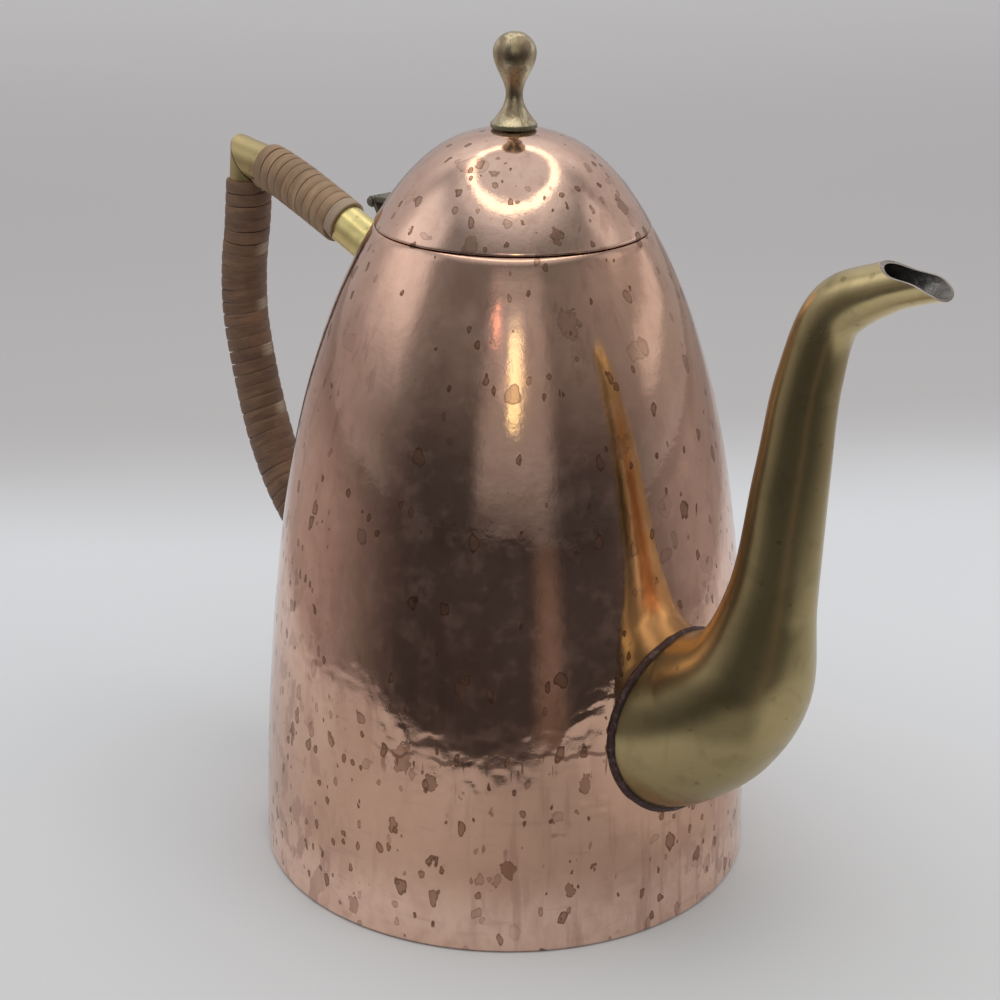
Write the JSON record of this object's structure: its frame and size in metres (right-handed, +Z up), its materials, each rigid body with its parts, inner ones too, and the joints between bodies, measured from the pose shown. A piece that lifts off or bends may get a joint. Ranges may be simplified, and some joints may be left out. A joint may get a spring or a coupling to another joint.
{
  "type": "teapot",
  "caption": "Tall copper pot with a hinged dome lid, brass finial, swan-neck brass spout and angular brass handle wound with cane.",
  "frame": {"origin": "centre of the flat underside of the base", "axes": "+Z up along the pot's axis, +X towards the spout, -X towards the handle and the lid hinge"},
  "size_m": [0.2698, 0.144, 0.2395],
  "materials": {
    "copper": "polished copper with brown oxide blotches",
    "brass": "worn brass, lightly tarnished",
    "dark_brass": "dark tarnished brass",
    "solder": "dull dark solder",
    "cane": "aged split cane, satin"
  },
  "bodies": {
    "pot": {"body_shell": "copper", "base_plate": "copper", "mouth_band": "copper", "hinge_body_leaf": "dark_brass", "hinge_pin": "dark_brass", "spout": "brass", "spout_solder": "solder", "handle_upper_tube": "brass", "handle_lower_tube": "brass", "handle_upper_solder": "solder", "handle_lower_solder": "solder", "wrap_upper": "cane", "wrap_lower": "cane"},
    "lid": {"lid_dome": "copper", "lid_collar": "copper", "finial_knob": "brass", "finial_washer": "brass", "finial_nut": "brass", "hinge_lid_leaf": "dark_brass"}
  },
  "joints": [
    {"name": "lid_hinge", "type": "hinge", "parent": "pot", "child": "lid", "pos_m": [-0.0539, 0, 0.1852], "axis": [0, -1, 0], "range_deg": [0, 110]}
  ]
}
